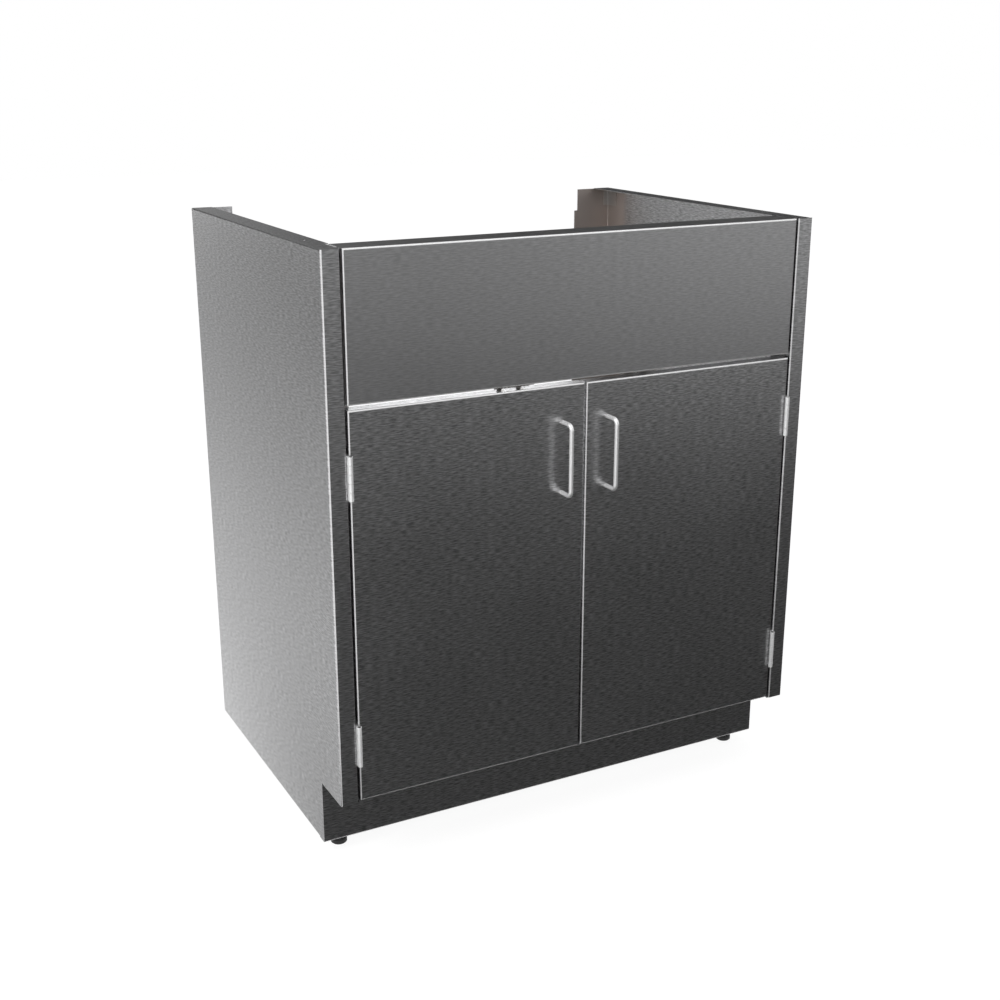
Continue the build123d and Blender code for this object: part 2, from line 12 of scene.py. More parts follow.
import bmesh
import bpy
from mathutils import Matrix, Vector

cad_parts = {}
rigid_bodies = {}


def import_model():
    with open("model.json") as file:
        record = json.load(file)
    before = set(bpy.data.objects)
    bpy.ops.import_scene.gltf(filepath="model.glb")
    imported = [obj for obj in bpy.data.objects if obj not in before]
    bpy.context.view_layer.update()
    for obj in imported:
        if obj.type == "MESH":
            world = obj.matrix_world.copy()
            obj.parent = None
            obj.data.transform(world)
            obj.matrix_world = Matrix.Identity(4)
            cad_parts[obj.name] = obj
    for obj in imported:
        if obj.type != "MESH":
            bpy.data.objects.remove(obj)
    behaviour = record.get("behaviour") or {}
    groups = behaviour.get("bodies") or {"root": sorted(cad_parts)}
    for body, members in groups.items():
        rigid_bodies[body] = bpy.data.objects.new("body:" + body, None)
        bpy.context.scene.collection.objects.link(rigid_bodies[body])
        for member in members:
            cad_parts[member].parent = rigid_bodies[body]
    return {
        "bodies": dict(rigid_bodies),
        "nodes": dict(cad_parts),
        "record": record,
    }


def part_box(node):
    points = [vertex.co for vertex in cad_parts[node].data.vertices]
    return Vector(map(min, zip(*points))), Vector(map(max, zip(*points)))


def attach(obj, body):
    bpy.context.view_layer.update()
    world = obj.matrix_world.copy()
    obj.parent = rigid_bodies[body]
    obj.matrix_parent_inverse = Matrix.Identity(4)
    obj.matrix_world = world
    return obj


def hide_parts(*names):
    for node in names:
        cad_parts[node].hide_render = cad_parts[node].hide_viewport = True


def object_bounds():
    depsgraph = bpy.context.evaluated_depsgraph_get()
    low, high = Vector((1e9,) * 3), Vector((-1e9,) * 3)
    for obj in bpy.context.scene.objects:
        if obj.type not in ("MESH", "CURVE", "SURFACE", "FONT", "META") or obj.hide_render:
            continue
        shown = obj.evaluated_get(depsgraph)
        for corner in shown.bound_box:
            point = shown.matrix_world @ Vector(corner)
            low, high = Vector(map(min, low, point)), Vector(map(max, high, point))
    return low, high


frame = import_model()
nodes = frame["nodes"]
cad_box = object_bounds()
print("pieces", len(nodes), "box", [tuple(round(c, 4) for c in corner) for corner in cad_box])

# %% [markdown]
# ## Small tools
# Colours are written as the sRGB hex values that a paint program shows. Shaders work in linear
# light, so one function converts them. No real surface has one even tone, so a second function gives
# the darker and the lighter shade that a pattern runs between. Materials are node trees, and a third
# function adds a node, sets its values and links its inputs, so that each tree reads as a list of
# what it does.

# %% Colours and nodes
def linear(code):
    """An sRGB hex colour as linear red, green, blue and alpha."""
    parts = [int(code[i:i + 2], 16) / 255 for i in (1, 3, 5)]
    return [p / 12.92 if p <= 0.04045 else ((p + 0.055) / 1.055) ** 2.4 for p in parts] + [1.0]


def darker_and_lighter(code, contrast):
    """An sRGB hex colour in linear light, once darker and once lighter by a share."""
    plain = linear(code)[:3]
    return [[min(1.0, c * change) for c in plain] + [1.0] for change in (1 - contrast, 1 + contrast)]


def add_node(tree, kind, settings=None, inputs=None, links=None):
    """A new node. settings are its properties, inputs its socket values, links its incoming sockets."""
    made = tree.nodes.new(kind)
    for name, value in (settings or {}).items():
        setattr(made, name, value)
    for name, value in (inputs or {}).items():
        made.inputs[name].default_value = value
    for name, socket in (links or {}).items():
        tree.links.new(socket, made.inputs[name])
    return made


def new_material(name):
    """An empty material with its output node."""
    made = bpy.data.materials.new(name)
    made.use_nodes = True
    made.node_tree.nodes.clear()
    output = add_node(made.node_tree, "ShaderNodeOutputMaterial")
    return made, made.node_tree, output


mm = 0.001
print("a mid grey in linear light:", round(linear("#808080")[0], 3))

# %% [markdown]
# ## Brushed stainless sheet
# The cabinet is folded from 304 stainless sheet with a number 4 finish: the mill sends the sheet
# under an abrasive belt, which leaves fine, short, parallel scratches. They blur what the steel
# mirrors, and each one catches the light a little differently, so a flat face shows short dashes
# along the belt's way. A real scratch is a few hundredths of a millimetre wide, too fine to show
# here, so the dashes are drawn as the bundles that the eye picks out at arm's length: about 11 mm
# long and 1.5 mm wide.
#
# The grain could be an image or a stretched noise. A stretched noise needs no unwrapping and never
# repeats. Its long axis follows the sheet round its folds: along X on the front faces, along Y on the
# side walls and their top flanges.
#
# The folds at the front that turn left, up or down carry a painted highlight about halfway round:
# they are paler, duller and less metallic than the sheet. Inside the right rear corner, and a short
# way along the wall, the sheet turns a warmer, darker grey and rougher. Both places follow from the
# normal and from the part's own box.

# %% Brushed sheet
dash_length, dash_width = 11 * mm, 1.5 * mm
cloud_size = 111 * mm
lying_from = 0.7
grain_dark_at, grain_light_at = 0.34, 0.66
cloud_low, cloud_high, cloud_swing = 0.3, 0.7, 0.01
fold_highlight_color, fold_roughness, fold_metallic = "#D2D2D2", 0.50, 0.75
flat_share, turned_share = 0.999, 0.98
right_share, ahead_share = 0.15, 0.02
highlight_off_share, highlight_full_share = -0.8, -0.6
sloped_share = 0.02
rear_folds_from = 0.2
tint_color, tint_roughness = "#B2A9A4", 0.45
tint_reach, tint_fade = 66 * mm, 16 * mm
half_sheet = 0.6 * mm
side_wall, back, top = cad_box[1]


def painted_fold_highlight(tree, place, y):
    """Mask of the painted highlight: 1 on a fold that turns up, down or to the left. 0 on the flat faces,
    where one axis holds all of the normal, on the folds that turn right, slope both ways or stand at
    the rear, and on the last part of a fold, which faces left."""
    normal = add_node(tree, "ShaderNodeSeparateXYZ", links={"Vector": place.outputs["Normal"]})
    size = add_node(tree, "ShaderNodeVectorMath", {"operation": "ABSOLUTE"},
                    links={0: place.outputs["Normal"]})
    split = add_node(tree, "ShaderNodeSeparateXYZ", links={"Vector": size.outputs[0]})
    level_most = add_node(tree, "ShaderNodeMath", {"operation": "MAXIMUM"},
                          links={0: split.outputs["X"], 1: split.outputs["Y"]})
    most = add_node(tree, "ShaderNodeMath", {"operation": "MAXIMUM"},
                    links={0: level_most.outputs[0], 1: split.outputs["Z"]})
    sloped = add_node(tree, "ShaderNodeMath", {"operation": "MULTIPLY"},
                      links={0: split.outputs["X"], 1: split.outputs["Z"]})
    turned = add_node(tree, "ShaderNodeMapRange", {"clamp": True}, {
        "From Min": flat_share, "From Max": turned_share, "To Min": 0.0, "To Max": 1.0},
        {"Value": most.outputs[0]})
    leftward = add_node(tree, "ShaderNodeMapRange", {"clamp": True}, {
        "From Min": right_share, "From Max": ahead_share, "To Min": 0.0, "To Max": 1.0},
        {"Value": normal.outputs["X"]})
    reached = add_node(tree, "ShaderNodeMapRange", {"clamp": True}, {
        "From Min": highlight_off_share, "From Max": highlight_full_share, "To Min": 0.0, "To Max": 1.0},
        {"Value": normal.outputs["X"]})
    in_front = add_node(tree, "ShaderNodeMath", {"operation": "LESS_THAN"}, {1: rear_folds_from}, {0: y})
    one_way = add_node(tree, "ShaderNodeMath", {"operation": "LESS_THAN"}, {1: sloped_share},
                       {0: sloped.outputs[0]})
    mask = turned.outputs["Result"]
    for part in (leftward, reached, in_front, one_way):
        mask = add_node(tree, "ShaderNodeMath", {"operation": "MULTIPLY"},
                        links={0: mask, 1: part.outputs[0]}).outputs[0]
    return mask


def in_rear_corner(tree, x, y, z):
    """1 on the inside of the right rear corner and a short way along the wall, 0 elsewhere."""
    reach = add_node(tree, "ShaderNodeMapRange", {"clamp": True}, {
        "From Min": back - tint_reach, "From Max": back - tint_reach + tint_fade, "To Min": 0.0,
        "To Max": 1.0}, {"Value": y})
    on_right = add_node(tree, "ShaderNodeMath", {"operation": "GREATER_THAN"}, {1: 0.0}, {0: x})
    mask = add_node(tree, "ShaderNodeMath", {"operation": "MULTIPLY"},
                    links={0: reach.outputs["Result"], 1: on_right.outputs[0]}).outputs[0]
    for value, outside in ((x, side_wall), (y, back), (z, top)):
        within = add_node(tree, "ShaderNodeMath", {"operation": "LESS_THAN"}, {1: outside - half_sheet},
                          {0: value})
        mask = add_node(tree, "ShaderNodeMath", {"operation": "MULTIPLY"},
                        links={0: mask, 1: within.outputs[0]}).outputs[0]
    return mask


def belt_grain(tree, place, way, x, y, z):
    """Noise drawn out into dashes, level on every upright face. way says how they run on a face that
    lies: front for along X, as on the doors and the apron, side for along Y."""
    normal = add_node(tree, "ShaderNodeSeparateXYZ", links={"Vector": place.outputs["Normal"]})
    upward = add_node(tree, "ShaderNodeMath", {"operation": "ABSOLUTE"}, links={0: normal.outputs["Z"]})
    lying = add_node(tree, "ShaderNodeMath", {"operation": "GREATER_THAN"}, {1: lying_from},
                     {0: upward.outputs[0]})
    slid = add_node(tree, "ShaderNodeMath", {"operation": "MULTIPLY"},
                    links={0: y if way == "front" else x, 1: lying.outputs[0]})
    across = add_node(tree, "ShaderNodeMath", {"operation": "ADD"}, links={0: z, 1: slid.outputs[0]})
    level = add_node(tree, "ShaderNodeMath", {"operation": "ADD"}, links={0: x, 1: y})
    along = add_node(tree, "ShaderNodeMath", {"operation": "SUBTRACT"},
                     links={0: level.outputs[0], 1: slid.outputs[0]})
    long_way = add_node(tree, "ShaderNodeMath", {"operation": "DIVIDE"}, {1: dash_length},
                        {0: along.outputs[0]})
    short_way = add_node(tree, "ShaderNodeMath", {"operation": "DIVIDE"}, {1: dash_width},
                         {0: across.outputs[0]})
    drawn_out = add_node(tree, "ShaderNodeCombineXYZ",
                         links={"X": long_way.outputs[0], "Y": short_way.outputs[0]})
    return add_node(tree, "ShaderNodeTexNoise", {"noise_dimensions": "3D"},
                    {"Scale": 1.0, "Detail": 2.0, "Roughness": 0.55},
                    {"Vector": drawn_out.outputs[0]}).outputs["Fac"]


def brushed_sheet(name, color, roughness, way, contrast, depth):
    """Stainless sheet with a belt grain, painted fold highlights and, on the sides, the warmer rear corner.
    """
    made, tree, output = new_material(name)
    place = add_node(tree, "ShaderNodeTexCoord")
    split = add_node(tree, "ShaderNodeSeparateXYZ", links={"Vector": place.outputs["Object"]})
    x, y, z = split.outputs
    grain = belt_grain(tree, place, way, x, y, z)
    cloud = add_node(tree, "ShaderNodeTexNoise", {"noise_dimensions": "3D"},
                     {"Scale": 1 / cloud_size, "Detail": 2.0, "Roughness": 0.5},
                     {"Vector": place.outputs["Object"]})
    dark, light = darker_and_lighter(color, contrast)
    tone = add_node(tree, "ShaderNodeValToRGB", links={"Fac": grain})
    tone.color_ramp.elements[0].position, tone.color_ramp.elements[0].color = grain_dark_at, dark
    tone.color_ramp.elements[1].position, tone.color_ramp.elements[1].color = grain_light_at, light
    rough = add_node(tree, "ShaderNodeMapRange", inputs={
        "From Min": cloud_low, "From Max": cloud_high, "To Min": roughness - cloud_swing,
        "To Max": roughness + cloud_swing}, links={"Value": cloud.outputs["Fac"]})
    bump = add_node(tree, "ShaderNodeBump", inputs={"Strength": 1.0, "Distance": depth},
                    links={"Height": grain})
    fold = painted_fold_highlight(tree, place, y)
    # Painted highlight: the folds that the mask picks get a paler colour, more roughness and less metal.
    color_now = add_node(tree, "ShaderNodeMix", {"data_type": "RGBA"}, {7: linear(fold_highlight_color)},
                         {"Factor": fold, 6: tone.outputs["Color"]}).outputs[2]
    rough_now = add_node(tree, "ShaderNodeMix", inputs={3: fold_roughness},
                         links={"Factor": fold, 2: rough.outputs["Result"]}).outputs[0]
    metal_now = add_node(tree, "ShaderNodeMix", inputs={2: 1.0, 3: fold_metallic},
                         links={"Factor": fold}).outputs[0]
    # On the sides, the inside of the right rear corner turns a warmer, darker grey and rougher.
    if way == "side":
        tinted = in_rear_corner(tree, x, y, z)
        color_now = add_node(tree, "ShaderNodeMix", {"data_type": "RGBA"}, {7: linear(tint_color)},
                             {"Factor": tinted, 6: color_now}).outputs[2]
        rough_now = add_node(tree, "ShaderNodeMix", inputs={3: tint_roughness},
                             links={"Factor": tinted, 2: rough_now}).outputs[0]
    steel = add_node(tree, "ShaderNodeBsdfPrincipled", links={
        "Base Color": color_now, "Metallic": metal_now, "Roughness": rough_now,
        "Normal": bump.outputs["Normal"]})
    tree.links.new(steel.outputs["BSDF"], output.inputs["Surface"])
    return made


steel_color = "#BCBCBD"
brushed_front = brushed_sheet("brushed_stainless_front", steel_color, 0.29, "front", 0.42, 0.02 * mm)
brushed_side = brushed_sheet("brushed_stainless_side", steel_color, 0.29, "side", 0.36, 0.02 * mm)
brushed_apron = brushed_sheet("brushed_stainless_apron", steel_color, 0.29, "front", 0.15, 0.01 * mm)
print("brushed sheet:", brushed_front.name, brushed_side.name, brushed_apron.name)

# %% [markdown]
# ## The other metals
# Hidden sheet keeps the mill's own cold-rolled finish: smoother and cloudier than the brushed faces,
# with no dashes. The handles are drawn stainless wire, polished to a satin after bending. The hinges
# are tumbled in a drum of stones, which leaves a bright, soft surface. Screws, nuts and studs are
# plain bright steel.

# %% Mill sheet, satin wire, tumbled hinges, bright fasteners
patch_low, patch_high, patch_swing = 0.35, 0.65, 0.03


def plain_metal(name, color, roughness, spot, contrast, depth, metallic=1.0):
    """Metal without a grain direction. spot is the size of its cloudy patches."""
    made, tree, output = new_material(name)
    place = add_node(tree, "ShaderNodeTexCoord")
    cloud = add_node(tree, "ShaderNodeTexNoise", inputs={"Scale": 1 / spot, "Detail": 3.0},
                     links={"Vector": place.outputs["Object"]})
    dark, light = darker_and_lighter(color, contrast)
    tone = add_node(tree, "ShaderNodeValToRGB", links={"Fac": cloud.outputs["Fac"]})
    tone.color_ramp.elements[0].position, tone.color_ramp.elements[0].color = patch_low, dark
    tone.color_ramp.elements[1].position, tone.color_ramp.elements[1].color = patch_high, light
    rough = add_node(tree, "ShaderNodeMapRange", inputs={
        "From Min": patch_low, "From Max": patch_high, "To Min": roughness - patch_swing,
        "To Max": roughness + patch_swing}, links={"Value": cloud.outputs["Fac"]})
    bump = add_node(tree, "ShaderNodeBump", inputs={"Strength": 1.0, "Distance": depth},
                    links={"Height": cloud.outputs["Fac"]})
    metal = add_node(tree, "ShaderNodeBsdfPrincipled", inputs={"Metallic": metallic}, links={
        "Base Color": tone.outputs["Color"], "Roughness": rough.outputs["Result"],
        "Normal": bump.outputs["Normal"]})
    tree.links.new(metal.outputs["BSDF"], output.inputs["Surface"])
    return made


mill_sheet = plain_metal("cold_rolled_stainless_sheet", "#B9B6B3", 0.31, 22 * mm, 0.05, 0.01 * mm)
satin_wire = plain_metal("satin_stainless_wire", "#D6D6D6", 0.40, 3 * mm, 0.05, 0.004 * mm, 0.74)
tumbled_steel = plain_metal("tumbled_stainless_hinge", "#DADADA", 0.38, 2 * mm, 0.05, 0.005 * mm, 0.50)
bright_steel = plain_metal("bright_steel_fastener", "#C4C3BF", 0.28, 2 * mm, 0.06, 0.004 * mm)
print("metals:", mill_sheet.name, satin_wire.name, tumbled_steel.name, bright_steel.name)

# %% [markdown]
# ## Plastic and rubber
# The feet are moulded in black nylon and the catches in white. A mould that was spark eroded leaves a
# fine matt pebble on it. The door buffers are black rubber, softer and duller still. All keep the
# index of refraction of their plastics, 1.53 and 1.52.

# %% Nylon and rubber
def moulded(name, color, roughness, ior, pebble, depth, contrast=0.3):
    """Moulded plastic or rubber with a pebbled skin."""
    made, tree, output = new_material(name)
    place = add_node(tree, "ShaderNodeTexCoord")
    skin = add_node(tree, "ShaderNodeTexNoise", inputs={"Scale": 1 / pebble, "Detail": 2.0},
                    links={"Vector": place.outputs["Object"]})
    dark, light = darker_and_lighter(color, contrast)
    tone = add_node(tree, "ShaderNodeValToRGB", links={"Fac": skin.outputs["Fac"]})
    tone.color_ramp.elements[0].color, tone.color_ramp.elements[1].color = dark, light
    bump = add_node(tree, "ShaderNodeBump", inputs={"Strength": 1.0, "Distance": depth},
                    links={"Height": skin.outputs["Fac"]})
    body = add_node(tree, "ShaderNodeBsdfPrincipled", inputs={"Roughness": roughness, "IOR": ior},
                    links={"Base Color": tone.outputs["Color"], "Normal": bump.outputs["Normal"]})
    tree.links.new(body.outputs["BSDF"], output.inputs["Surface"])
    return made


black_nylon = moulded("moulded_black_nylon", "#101011", 0.60, 1.53, 0.8 * mm, 0.03 * mm)
black_rubber = moulded("moulded_black_rubber", "#202021", 0.75, 1.52, 0.5 * mm, 0.03 * mm)
white_nylon = moulded("moulded_white_nylon", "#D8D6CF", 0.40, 1.53, 0.8 * mm, 0.02 * mm, 0.04)
print("mouldings:", black_nylon.name, black_rubber.name, white_nylon.name)

# %% [markdown]
# ## Bores of the hinges
# Each hinge leaf is rolled round its pin. The bore that the roll leaves at either end gets painted
# shade: its colour turns near black. The place to darken follows from the pin: everything nearer to
# its axis than the roll's inner wall.

# %% Painted shade in the bores
bore_shade_color, bore_slack, full_dark_share = "#0A0A09", 0.8 * mm, 0.5


def paint_bore_shade(material, pin):
    """Paints shade into a material within the bore's slack of a pin's wall, for pins in mirrored places."""
    corners = [pin.matrix_world @ Vector(corner) for corner in pin.bound_box]
    low = [min(corner[i] for corner in corners) for i in (0, 1)]
    high = [max(corner[i] for corner in corners) for i in (0, 1)]
    axis_x, axis_y, radius = abs(low[0] + high[0]) / 2, (low[1] + high[1]) / 2, (high[0] - low[0]) / 2
    tree = material.node_tree
    steel = next(n for n in tree.nodes if n.bl_idname == "ShaderNodeBsdfPrincipled")
    tone = steel.inputs["Base Color"].links[0].from_socket
    place = add_node(tree, "ShaderNodeTexCoord")
    split = add_node(tree, "ShaderNodeSeparateXYZ", links={"Vector": place.outputs["Object"]})
    side = add_node(tree, "ShaderNodeMath", {"operation": "ABSOLUTE"}, links={0: split.outputs["X"]})
    flat = add_node(tree, "ShaderNodeCombineXYZ", links={"X": side.outputs[0], "Y": split.outputs["Y"]})
    reach = add_node(tree, "ShaderNodeVectorMath", {"operation": "DISTANCE"}, {1: (axis_x, axis_y, 0.0)},
                     {0: flat.outputs[0]})
    inside = add_node(tree, "ShaderNodeMapRange", {"clamp": True}, {
        "From Min": radius + bore_slack, "From Max": radius + bore_slack * full_dark_share,
        "To Min": 0.0, "To Max": 1.0}, {"Value": reach.outputs["Value"]})
    # Painted shade: inside the bore the base colour turns near black.
    mixed = add_node(tree, "ShaderNodeMix", {"data_type": "RGBA"}, {7: linear(bore_shade_color)},
                     {"Factor": inside.outputs["Result"], 6: tone})
    tree.links.new(mixed.outputs[2], steel.inputs["Base Color"])
    return axis_x, axis_y, radius


pin_axis = paint_bore_shade(tumbled_steel, nodes["left_lower_hinge_pin"])
print("pin axis and radius:", [round(v, 5) for v in pin_axis])

# %% [markdown]
# ## Dress the CAD pieces
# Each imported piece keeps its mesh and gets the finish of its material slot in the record.

# %% Hand out the finishes
finishes = {
    "brushed_front_sheet": brushed_front, "brushed_side_sheet": brushed_side,
    "mill_sheet": mill_sheet, "satin_steel_rod": satin_wire, "bright_hinge_steel": tumbled_steel,
    "zinc_steel": bright_steel, "black_plastic": black_nylon, "black_rubber": black_rubber,
    "catch_plastic": white_nylon}
slot_of = {part["node"]: part["material_slot"] for part in frame["record"]["subparts"]}
for name, piece in nodes.items():
    finish = brushed_apron if name == "apron_panel" else finishes[slot_of[name]]
    piece.data.materials.clear()
    piece.data.materials.append(finish)
print("dressed", len(nodes), "pieces")

# %% [markdown]
# ## Threads on the foot studs
# The studs that the cabinet is levelled with are M10, rolled with a coarse thread. The solids leave
# the thread out, so each stud gets a mesh that replaces it. A thread could be a swept profile, but its
# slanted ends are hard to close. Here the stud is a stack of rings instead: each point's distance from
# the axis follows from its height and its angle, and the ends are flat. The thread's depth, the half
# width of its root and the start of its crest are shares of the pitch.

# %% Threaded studs
thread_pitch, depth_share = 1.5 * mm, 0.613
thread_depth = depth_share * thread_pitch
root_share, crest_share = 0.125, 0.4375
rows_per_turn, points_round = 8, 36


def thread_height(height, turn):
    """Height of the thread over its root, 0 to 1, at a height in pitches and a share of a turn."""
    from_root = abs((height - turn) % 1.0 - 0.5)
    return min(1.0, max(0.0, (from_root - root_share) / (crest_share - root_share)))


def threaded_stud(name, low, high):
    """A threaded rod that fills a box, with its ends chamfered to the thread's root."""
    center_x, center_y, outer = (low.x + high.x) / 2, (low.y + high.y) / 2, (high.x - low.x) / 2
    root, length = outer - thread_depth, high.z - low.z
    rows = round(length / thread_pitch * rows_per_turn)
    points, faces = [], []
    for row in range(rows + 1):
        height = length * row / rows
        most = min(thread_depth, height, length - height)
        for step in range(points_round):
            angle = 2 * math.pi * step / points_round
            rise = min(most, thread_depth * thread_height(height / thread_pitch, step / points_round))
            points.append((center_x + (root + rise) * math.cos(angle),
                           center_y + (root + rise) * math.sin(angle), low.z + height))
    for row in range(rows):
        for step in range(points_round):
            here, there = row * points_round, (row + 1) * points_round
            after = (step + 1) % points_round
            faces.append((here + step, here + after, there + after, there + step))
    faces.append(tuple(reversed(range(points_round))))
    faces.append(tuple(rows * points_round + step for step in range(points_round)))
    mesh = bpy.data.meshes.new(name)
    mesh.from_pydata(points, [], faces)
    mesh.polygons.foreach_set("use_smooth", [len(face) == 4 for face in faces])
    made = bpy.data.objects.new(name, mesh)
    bpy.context.scene.collection.objects.link(made)
    mesh.materials.append(bright_steel)
    return made


def body_of_node(node):
    """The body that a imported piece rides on."""
    return next(body for body, empty in frame["bodies"].items() if nodes[node].parent == empty)


for place in ("left_front", "left_rear", "right_front", "right_rear"):
    node = f"{place}_foot_stud"
    low, high = (Vector(corner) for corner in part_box(node))
    stud = threaded_stud(f"{place}_threaded_stud", low, high)
    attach(stud, body_of_node(node))
    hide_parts(node)
print("threaded studs of", len(stud.data.polygons), "faces each")

# %% [markdown]
# ## Pole strips of the catches
# A magnetic catch holds its magnet between two steel strips whose edges stand a hair proud of the
# nylon, and the door's strike lands on them. They ride with the cabinet.

# %% Pole strips
strip_inset, strip_height, strip_proud, strip_bevel = 5 * mm, 1.6 * mm, 0.15 * mm, 0.25 * mm
strip_shares = (0.3, 0.7)


def pole_strip(name, low, high):
    """A thin steel bar between two corners, with rounded edges."""
    mesh = bpy.data.meshes.new(name)
    shape = bmesh.new()
    bmesh.ops.create_cube(shape, size=1.0)
    for point in shape.verts:
        point.co = Vector([low[i] + (high[i] - low[i]) * (point.co[i] + 0.5) for i in range(3)])
    bmesh.ops.bevel(shape, geom=shape.edges[:], offset=strip_bevel, segments=2, affect="EDGES",
                    profile=0.5)
    shape.to_mesh(mesh)
    shape.free()
    made = bpy.data.objects.new(name, mesh)
    bpy.context.scene.collection.objects.link(made)
    mesh.materials.append(bright_steel)
    return made


for side in ("left", "right"):
    node = f"{side}_magnetic_catch"
    low, high = (Vector(corner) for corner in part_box(node))
    for number, share in enumerate(strip_shares, 1):
        middle = low.z + (high.z - low.z) * share
        strip = pole_strip(f"{side}_catch_pole_{number}",
                           (low.x + strip_inset, low.y - strip_proud, middle - strip_height / 2),
                           (high.x - strip_inset, low.y + strip_height, middle + strip_height / 2))
        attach(strip, body_of_node(node))
print("pole strips on both catches")

# %% [markdown]
# ## The camera
# The photograph looks down 17.7 degrees from the front left. The camera stands where lines through
# the cabinet's corners meet, 1.1 m over the floor, with a 50 mm lens on a 36 mm sensor.

# %% Camera
camera = bpy.data.objects.new("camera", bpy.data.cameras.new("camera"))
bpy.context.scene.collection.objects.link(camera)
camera.data.lens, camera.data.sensor_width = 50, 36
camera.location = (-0.97852, -1.86764, 1.10324)
looks_along = Vector((0.444209, 0.842840, -0.303807))
camera.rotation_mode = "QUATERNION"
camera.rotation_quaternion = looks_along.to_track_quat("-Z", "Y")
camera.data.clip_start, camera.data.clip_end = 0.05, 60
bpy.context.scene.camera = camera
print("camera at", tuple(round(c, 3) for c in camera.location))

# %% [markdown]
# ## Floor and white surround
# The floor is matt white. Where the camera or a mirror looks at it, most of its light is its own, so
# that it renders white with only the soft shadow of the cabinet. The surround is the same white for
# the camera and for reflections, and a softer grey for the light that it sheds.

# %% Floor and surround
floor_reach, floor_glow, own_light_share = 12, 1.07, 0.85
soft_grey = 0.8


def seen_directly(tree):
    """1 where the camera, a mirror or glass looks, 0 for scattered light."""
    path = add_node(tree, "ShaderNodeLightPath")
    first = add_node(tree, "ShaderNodeMath", {"operation": "MAXIMUM"}, links={
        0: path.outputs["Is Camera Ray"], 1: path.outputs["Is Glossy Ray"]})
    return add_node(tree, "ShaderNodeMath", {"operation": "MAXIMUM"}, links={
        0: first.outputs[0], 1: path.outputs["Is Transmission Ray"]}).outputs[0]


def stage_sheet(name, corners, material):
    """A flat stage piece through four corners."""
    mesh = bpy.data.meshes.new(name)
    mesh.from_pydata([Vector(c) for c in corners], [], [(0, 1, 2, 3)])
    made = bpy.data.objects.new(name, mesh)
    bpy.context.scene.collection.objects.link(made)
    mesh.materials.append(material)
    return made


matt_white, tree, output = new_material("matt_white_floor")
paint = add_node(tree, "ShaderNodeBsdfDiffuse", inputs={"Color": linear("#F2F2F2")})
glow = add_node(tree, "ShaderNodeEmission", inputs={"Color": (1, 1, 1, 1), "Strength": floor_glow})
share = add_node(tree, "ShaderNodeMath", {"operation": "MULTIPLY"}, {1: own_light_share},
                 {0: seen_directly(tree)})
both = add_node(tree, "ShaderNodeMixShader", links={
    0: share.outputs[0], 1: paint.outputs[0], 2: glow.outputs[0]})
tree.links.new(both.outputs[0], output.inputs["Surface"])
floor_corners = [(floor_reach * x, floor_reach * y, 0) for x, y in ((-1, -1), (1, -1), (1, 1), (-1, 1))]
stage_sheet("floor", floor_corners, matt_white)

world = bpy.data.worlds.new("white_surround")
bpy.context.scene.world = world
world.use_nodes = True
world.node_tree.nodes.clear()
sky_output = add_node(world.node_tree, "ShaderNodeOutputWorld")
level = add_node(world.node_tree, "ShaderNodeMapRange", inputs={
    "From Min": 0.0, "From Max": 1.0, "To Min": soft_grey, "To Max": 1.0},
    links={"Value": seen_directly(world.node_tree)})
sky = add_node(world.node_tree, "ShaderNodeBackground", inputs={"Color": (1, 1, 1, 1)},
               links={"Strength": level.outputs["Result"]})
world.node_tree.links.new(sky.outputs[0], sky_output.inputs["Surface"])
print("floor and surround are white")

# %% [markdown]
# ## Cards round the cabinet
# A polished box shows what stands round it, not the lamps. The doors mirror something dark close by
# that lightens with distance, the side mirrors something pale, and the top edges mirror a dark wall
# behind. A studio does this with cards kept out of the picture. Here they are flat sheets that only
# reflections see. Each glows as strongly as the card would look, from black at 0 to white at 1.
#
# A lying card shades off away from the wall that mirrors it, and a little from one side to the other.
# Both ways follow from the mirror rule. The camera stands in line with the place on the wall and the
# card's mirror image, so a card at distance s shows at s / (s + the camera's distance) of the
# camera's height.

# %% Cards that lie on the floor
eye = camera.location
card_lift = 1 * mm
front_wall, left_wall, back_wall = -0.265112, -0.381, 0.293687
card_edge = -0.195


def tone_along(tree, share, stops):
    """Tone along a share from 0 to 1. stops are pairs of place and tone."""
    ramp = add_node(tree, "ShaderNodeValToRGB", links={"Fac": share})
    points = ramp.color_ramp.elements
    while len(points) < len(stops):
        points.new(0.5)
    for point, (place, tone) in zip(points, stops):
        point.position, point.color = place, (tone, tone, tone, 1)
    return ramp.outputs["Color"]


